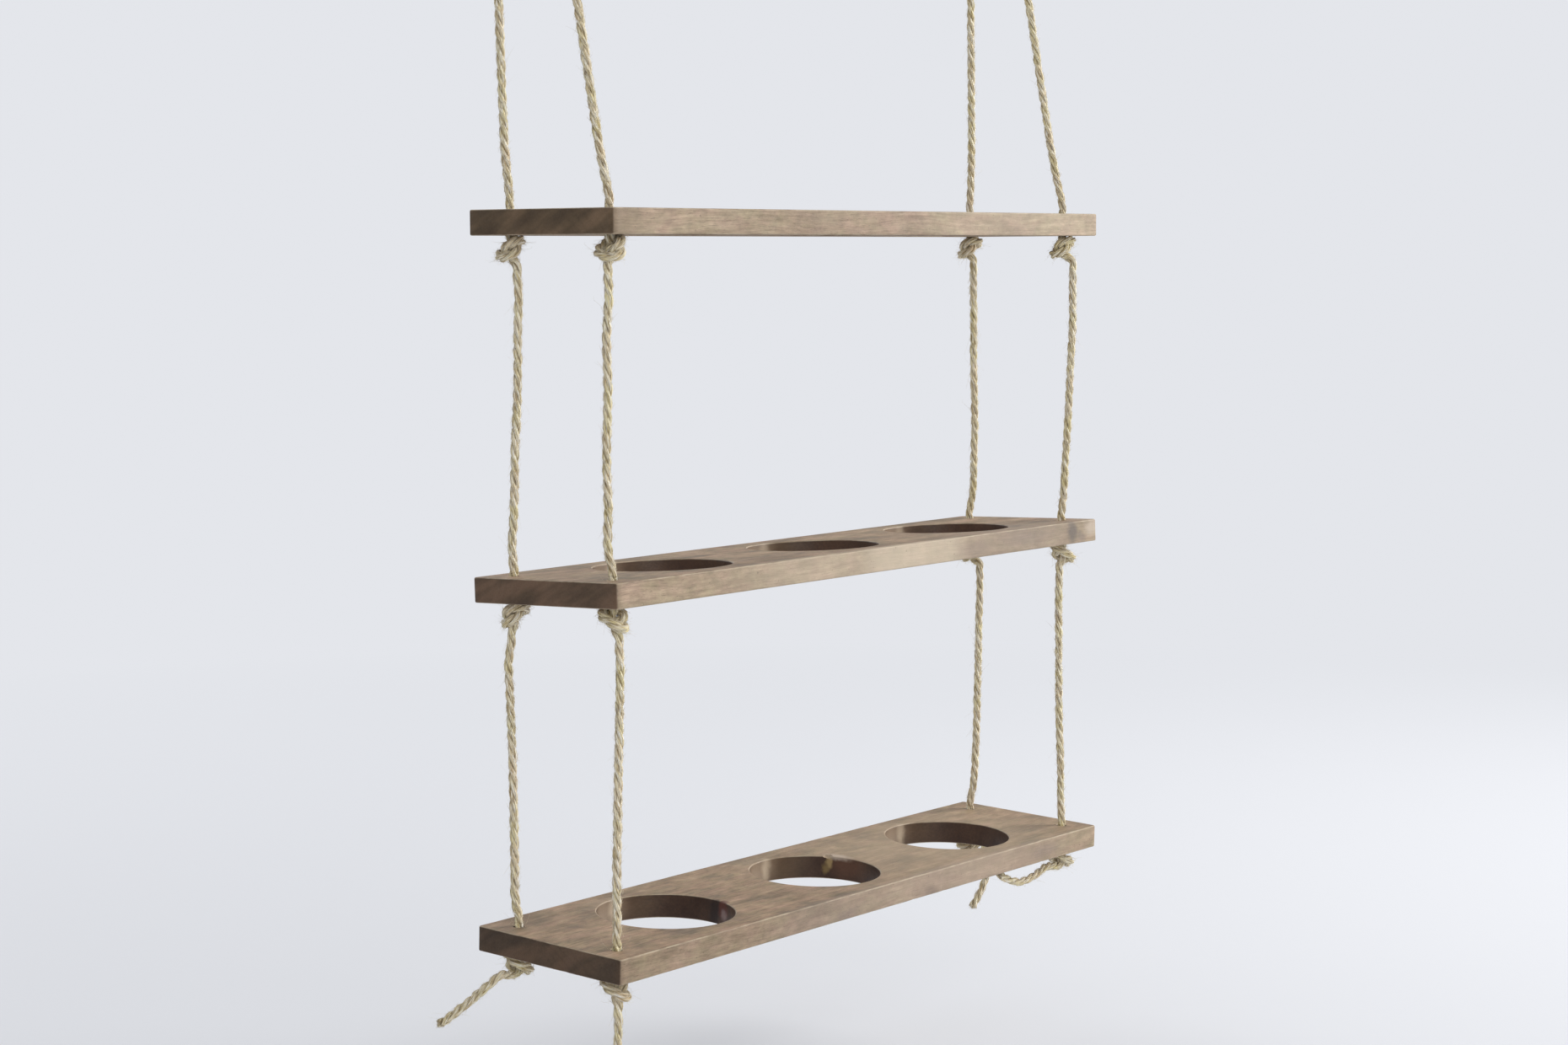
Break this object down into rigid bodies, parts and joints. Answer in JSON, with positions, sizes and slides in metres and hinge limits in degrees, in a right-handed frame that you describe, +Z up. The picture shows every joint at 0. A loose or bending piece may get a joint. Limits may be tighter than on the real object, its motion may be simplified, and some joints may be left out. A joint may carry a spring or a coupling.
{
  "type": "hanging rope shelf",
  "caption": "Wall-hung shelf: long wooden boards with round pot holes, one above another, carried by knotted twisted ropes from wall hooks.",
  "frame": {"origin": "on the wall plane, midway between the two hooks, level with the middle of the hook wire that the ropes bear on", "axes": "+X to the right along the boards, +Y into the wall, +Z up"},
  "size_m": [0.6835, 0.1672, 1.2116],
  "materials": {
    "wood_top": "stained and worn, satin",
    "wood_middle": "stained and worn, satin",
    "wood_bottom": "stained and worn, satin",
    "rope": "twisted natural fibre, matt",
    "steel": "zinc-plated"
  },
  "bodies": {
    "wall_hooks": {"hook_left": "steel", "hook_right": "steel"},
    "rope_bends": {"rope_bend_left": "rope", "rope_bend_right": "rope"},
    "upper_ropes_left": {"rope_upper_front_left": "rope", "rope_upper_back_left": "rope"},
    "upper_ropes_right": {"rope_upper_front_right": "rope", "rope_upper_back_right": "rope"},
    "top_tier": {"shelf_top": "wood_top", "knot_top_front_left": "rope", "knot_top_back_left": "rope", "knot_top_front_right": "rope", "knot_top_back_right": "rope"},
    "middle_ropes_left": {"rope_middle_front_left": "rope", "rope_middle_back_left": "rope"},
    "middle_ropes_right": {"rope_middle_front_right": "rope", "rope_middle_back_right": "rope"},
    "middle_tier": {"shelf_middle": "wood_middle", "knot_middle_front_left": "rope", "knot_middle_back_left": "rope", "knot_middle_front_right": "rope", "knot_middle_back_right": "rope"},
    "lower_ropes_left": {"rope_lower_front_left": "rope", "rope_lower_back_left": "rope"},
    "lower_ropes_right": {"rope_lower_front_right": "rope", "rope_lower_back_right": "rope"},
    "bottom_tier": {"shelf_bottom": "wood_bottom", "knot_bottom_front_left": "rope", "knot_bottom_back_left": "rope", "knot_bottom_front_right": "rope", "knot_bottom_back_right": "rope", "rope_tail_front_left": "rope", "rope_tail_back_left": "rope", "rope_tail_front_right": "rope", "rope_tail_back_right": "rope"}
  },
  "joints": [
    {"name": "swing_out", "type": "hinge", "parent": "wall_hooks", "child": "rope_bends", "pos_m": [0, -0.02, 0], "axis": [-1, 0, 0], "range_deg": [0, 12]},
    {"name": "sway_upper_left", "type": "hinge", "parent": "rope_bends", "child": "upper_ropes_left", "pos_m": [-0.285, -0.02, -0.0244], "axis": [0, 1, 0], "range_deg": [-8, 8]},
    {"name": "sway_upper_right", "type": "hinge", "parent": "rope_bends", "child": "upper_ropes_right", "pos_m": [0.285, -0.02, -0.0244], "axis": [0, 1, 0], "range_deg": [-8, 8]},
    {"name": "level_top", "type": "hinge", "parent": "upper_ropes_left", "child": "top_tier", "pos_m": [-0.285, -0.072, -0.54685], "axis": [0, 1, 0], "range_deg": [-8, 8]},
    {"name": "sway_middle_left", "type": "hinge", "parent": "top_tier", "child": "middle_ropes_left", "pos_m": [-0.285, -0.072, -0.59138], "axis": [0, 1, 0], "range_deg": [-8, 8]},
    {"name": "sway_middle_right", "type": "hinge", "parent": "top_tier", "child": "middle_ropes_right", "pos_m": [0.285, -0.072, -0.59138], "axis": [0, 1, 0], "range_deg": [-8, 8]},
    {"name": "level_middle", "type": "hinge", "parent": "middle_ropes_left", "child": "middle_tier", "pos_m": [-0.285, -0.072, -0.80886], "axis": [0, 1, 0], "range_deg": [-8, 8]},
    {"name": "sway_lower_left", "type": "hinge", "parent": "middle_tier", "child": "lower_ropes_left", "pos_m": [-0.285, -0.072, -0.85336], "axis": [0, 1, 0], "range_deg": [-8, 8]},
    {"name": "sway_lower_right", "type": "hinge", "parent": "middle_tier", "child": "lower_ropes_right", "pos_m": [0.285, -0.072, -0.85336], "axis": [0, 1, 0], "range_deg": [-8, 8]},
    {"name": "level_bottom", "type": "hinge", "parent": "lower_ropes_left", "child": "bottom_tier", "pos_m": [-0.285, -0.072, -1.06886], "axis": [0, 1, 0], "range_deg": [-8, 8]}
  ],
  "couplings": [
    {"joint": "sway_upper_right", "follows": "sway_upper_left", "ratio": 1},
    {"joint": "level_top", "follows": "sway_upper_left", "ratio": -1},
    {"joint": "sway_middle_right", "follows": "sway_middle_left", "ratio": 1},
    {"joint": "level_middle", "follows": "sway_middle_left", "ratio": -1},
    {"joint": "sway_lower_right", "follows": "sway_lower_left", "ratio": 1},
    {"joint": "level_bottom", "follows": "sway_lower_left", "ratio": -1}
  ]
}
